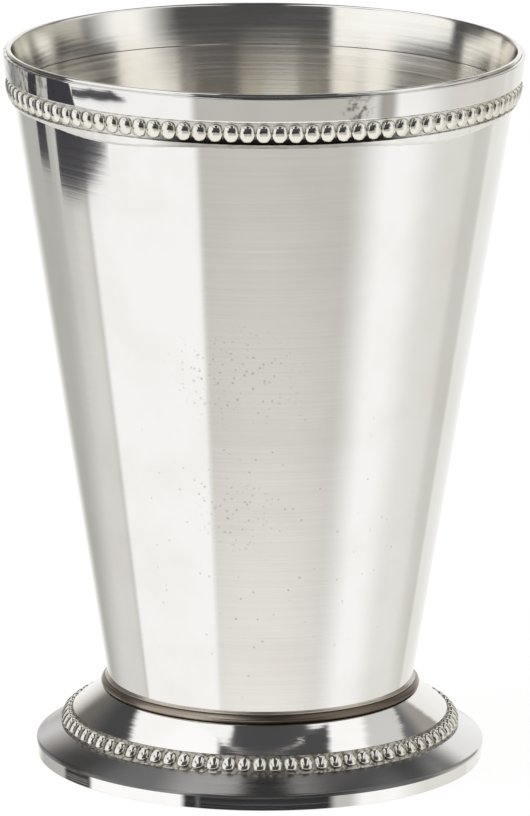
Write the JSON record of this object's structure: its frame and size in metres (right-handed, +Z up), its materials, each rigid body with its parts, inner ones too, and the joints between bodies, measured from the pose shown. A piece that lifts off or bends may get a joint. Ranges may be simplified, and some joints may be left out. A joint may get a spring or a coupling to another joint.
{
  "type": "julep cup",
  "caption": "Footed, tapered metal drinking cup with a beaded collar under the lip and a flared, beaded foot; holds a cold drink and stands on its foot ring.",
  "frame": {"origin": "middle of the foot's resting ring, on the table", "axes": "+Z up along the cup's axis; -Y is the front, where a bead of each row is centred"},
  "size_m": [0.0824, 0.0824, 0.1149],
  "materials": {
    "body_plate": "silver plate on brass, lathe-polished to a soft shine",
    "bright_plate": "silver plate on brass, mirror polished",
    "bead_plate": "silver plate on rolled bead wire, darker in the hollows",
    "rim_solder": "plated solder fillet",
    "neck_solder": "tarnished solder",
    "neck_plate": "worn plate, tarnished brown"
  },
  "bodies": {
    "root": {"cup_body": "body_plate", "rim_band": "bright_plate", "rim_bead_wire": "bead_plate", "rim_solder": "rim_solder", "neck_solder": "neck_solder", "neck_ring": "neck_plate", "foot_shell": "bright_plate", "foot_bead_wire": "bead_plate", "foot_edge_band": "bright_plate"}
  },
  "joints": []
}
